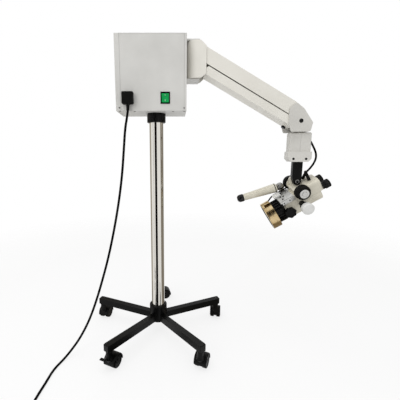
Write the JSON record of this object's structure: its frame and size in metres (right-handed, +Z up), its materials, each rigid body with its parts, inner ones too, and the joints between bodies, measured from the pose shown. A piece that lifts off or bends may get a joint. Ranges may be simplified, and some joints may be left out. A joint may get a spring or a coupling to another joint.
{
  "type": "colposcope",
  "caption": "colposcope on a five-caster stand with a supply box, a balanced parallelogram arm and a tilting binocular head with a ring light",
  "frame": {"origin": "on the floor under the middle of the whole object, mains cord left out", "axes": "+Z up, +X from the pole towards the arm, -Y towards the switch side"},
  "size_m": [1.27, 0.8336, 1.234],
  "materials": {
    "aluminium": "machined",
    "black_anodised": "anodised",
    "black_paint": "satin",
    "black_plastic": "moulded",
    "brass": "turned",
    "chrome": "polished",
    "cream_paint": "painted, satin",
    "glass": "coated",
    "gloss_plastic": "moulded",
    "grey_paint": "satin",
    "lit_green": "translucent look",
    "rubber": "matt",
    "steel": "machined",
    "white_plastic": "moulded"
  },
  "bodies": {
    "stand": {"hub": "black_paint", "base_legs": "black_paint", "leg_end_caps": "black_plastic", "pole": "chrome", "pole_collar": "black_paint", "box_chassis": "grey_paint", "box_cover": "grey_paint", "power_supply": "steel", "power_inlet": "gloss_plastic", "switch_bezel": "gloss_plastic", "shoulder_clevis": "grey_paint", "swing_pins": "steel", "cord_plug": "rubber", "mains_cord": "rubber", "cord_coil": "rubber", "mains_plug": "rubber"},
    "caster_1": {"caster_hood_1": "black_plastic"},
    "wheels_1": {"caster_wheels_1": "rubber"},
    "caster_2": {"caster_hood_2": "black_plastic"},
    "wheels_2": {"caster_wheels_2": "rubber"},
    "caster_3": {"caster_hood_3": "black_plastic"},
    "wheels_3": {"caster_wheels_3": "rubber"},
    "caster_4": {"caster_hood_4": "black_plastic"},
    "wheels_4": {"caster_wheels_4": "rubber"},
    "caster_5": {"caster_hood_5": "black_plastic"},
    "wheels_5": {"caster_wheels_5": "rubber"},
    "lever": {"brake_lever": "black_plastic"},
    "rocker": {"switch_rocker": "lit_green"},
    "shoulder": {"swing_bracket": "cream_paint", "shoulder_pins": "steel"},
    "upper": {"upper_arm": "cream_paint", "gas_spring": "black_paint"},
    "lower": {"lower_arm": "cream_paint"},
    "lock_screw": {"arm_lock_screw": "black_plastic"},
    "elbow": {"elbow_cover": "cream_paint", "elbow_pins": "black_paint"},
    "column": {"drop_cover": "cream_paint", "clamp_block": "cream_paint", "yoke_post": "black_paint", "head_cable": "rubber"},
    "head": {"head_body": "cream_paint", "tilt_pin": "black_paint", "prism_cover": "cream_paint", "handle_joint": "aluminium", "cable_plugs": "rubber", "ring_cable": "rubber"},
    "drum": {"magnification_shaft": "aluminium", "magnification_grips": "black_anodised"},
    "carriage": {"slide_plate": "aluminium", "heat_sink": "black_anodised", "ring_light": "brass", "led_ring": "black_plastic", "objective_lens": "glass"},
    "focus": {"focus_knob": "white_plastic"},
    "slide_lock": {"slide_lock_knob": "black_plastic"},
    "handle": {"handle_grip": "cream_paint", "handle_ball": "black_plastic"},
    "dioptre_left": {"dioptre_ring_left": "black_anodised"},
    "dioptre_right": {"dioptre_ring_right": "black_anodised"}
  },
  "joints": [
    {"name": "caster_swivel_1", "type": "hinge", "parent": "stand", "child": "caster_1", "pos_m": [0.06825, 0.05476, 0.085], "axis": [0, 0, 1], "continuous": true},
    {"name": "wheel_spin_1", "type": "hinge", "parent": "caster_1", "child": "wheels_1", "pos_m": [0.07207, 0.07642, 0.025], "axis": [-0.9848, 0.1736, 0], "continuous": true},
    {"name": "caster_swivel_2", "type": "hinge", "parent": "stand", "child": "caster_2", "pos_m": [-0.20661, 0.25445, 0.085], "axis": [0, 0, 1], "continuous": true},
    {"name": "wheel_spin_2", "type": "hinge", "parent": "caster_2", "child": "wheels_2", "pos_m": [-0.18509, 0.25902, 0.025], "axis": [-0.2079, 0.9781, 0], "continuous": true},
    {"name": "caster_swivel_3", "type": "hinge", "parent": "stand", "child": "caster_3", "pos_m": [-0.48146, 0.05476, 0.085], "axis": [0, 0, 1], "continuous": true},
    {"name": "wheel_spin_3", "type": "hinge", "parent": "caster_3", "child": "wheels_3", "pos_m": [-0.47577, 0.07601, 0.025], "axis": [-0.9659, 0.2588, 0], "continuous": true},
    {"name": "caster_swivel_4", "type": "hinge", "parent": "stand", "child": "caster_4", "pos_m": [-0.37648, -0.26836, 0.085], "axis": [0, 0, 1], "continuous": true},
    {"name": "wheel_spin_4", "type": "hinge", "parent": "caster_4", "child": "wheels_4", "pos_m": [-0.36753, -0.24826, 0.025], "axis": [-0.9135, 0.4067, 0], "continuous": true},
    {"name": "caster_swivel_5", "type": "hinge", "parent": "stand", "child": "caster_5", "pos_m": [-0.03674, -0.26836, 0.085], "axis": [0, 0, 1], "continuous": true},
    {"name": "wheel_spin_5", "type": "hinge", "parent": "caster_5", "child": "wheels_5", "pos_m": [-0.02779, -0.24826, 0.025], "axis": [-0.9135, 0.4067, 0], "continuous": true},
    {"name": "brake_press", "type": "hinge", "parent": "caster_4", "child": "lever", "pos_m": [-0.39212, -0.27891, 0.05], "axis": [-0.9135, 0.4067, 0], "range_deg": [-18, 0]},
    {"name": "rocker_tip", "type": "hinge", "parent": "stand", "child": "rocker", "pos_m": [-0.16786, -0.10255, 1.0095], "axis": [1, 0, 0], "range_deg": [-12, 0]},
    {"name": "arm_swing", "type": "hinge", "parent": "stand", "child": "shoulder", "pos_m": [-0.04661, -0.03455, 1.1], "axis": [0, 0, 1], "range_deg": [-90, 90]},
    {"name": "arm_lift", "type": "hinge", "parent": "shoulder", "child": "upper", "pos_m": [-0.03661, -0.03455, 1.158], "axis": [0, -1, 0], "range_deg": [-6, 35]},
    {"name": "lower_link", "type": "hinge", "parent": "shoulder", "child": "lower", "pos_m": [-0.03661, -0.03455, 1.133], "axis": [0, -1, 0], "range_deg": [-6, 35]},
    {"name": "elbow_level", "type": "hinge", "parent": "upper", "child": "elbow", "pos_m": [0.36489, -0.03455, 0.9315], "axis": [0, -1, 0], "range_deg": [-35, 6]},
    {"name": "lock_screw_turn", "type": "hinge", "parent": "lower", "child": "lock_screw", "pos_m": [0.31142, -0.03455, 0.91141], "axis": [0.4913, 0, 0.871], "continuous": true},
    {"name": "head_swivel", "type": "hinge", "parent": "elbow", "child": "column", "pos_m": [0.37839, -0.03455, 0.85], "axis": [0, 0, 1], "range_deg": [-120, 120]},
    {"name": "head_tilt", "type": "hinge", "parent": "column", "child": "head", "pos_m": [0.38039, -0.03455, 0.6895], "axis": [-0.1564, -0.9877, 0], "range_deg": [-35, 12], "deforming": ["head_cable"]},
    {"name": "magnification_turn", "type": "hinge", "parent": "head", "child": "drum", "pos_m": [0.38139, -0.03455, 0.6647], "axis": [0.0109, 0.9739, 0.2266], "continuous": true},
    {"name": "fine_focus", "type": "slide", "parent": "head", "child": "carriage", "axis": [0.8376, -0.1327, 0.5299], "range_m": [-0.01, 0.005], "deforming": ["ring_cable"]},
    {"name": "focus_knob_turn", "type": "hinge", "parent": "head", "child": "focus", "pos_m": [0.39632, -0.10008, 0.59262], "axis": [0.0109, 0.9739, 0.2266], "range_deg": [-230, 115]},
    {"name": "slide_lock_turn", "type": "hinge", "parent": "head", "child": "slide_lock", "pos_m": [0.34876, -0.07223, 0.56343], "axis": [0.0109, 0.9739, 0.2266], "continuous": true},
    {"name": "handle_swing", "type": "hinge", "parent": "head", "child": "handle", "pos_m": [0.33831, 0.02865, 0.65993], "axis": [0.0109, 0.9739, 0.2266], "range_deg": [-4, 45]},
    {"name": "dioptre_left_turn", "type": "hinge", "parent": "head", "child": "dioptre_left", "pos_m": [0.48448, -0.07138, 0.68125], "axis": [0.8376, -0.1327, 0.5299], "range_deg": [-150, 150]},
    {"name": "dioptre_right_turn", "type": "hinge", "parent": "head", "child": "dioptre_right", "pos_m": [0.48515, -0.011, 0.6953], "axis": [0.8376, -0.1327, 0.5299], "range_deg": [-150, 150]}
  ],
  "couplings": [
    {"joint": "lower_link", "follows": "arm_lift", "ratio": 1},
    {"joint": "elbow_level", "follows": "arm_lift", "ratio": -1},
    {"joint": "focus_knob_turn", "follows": "fine_focus", "rad_per_m": 400}
  ]
}
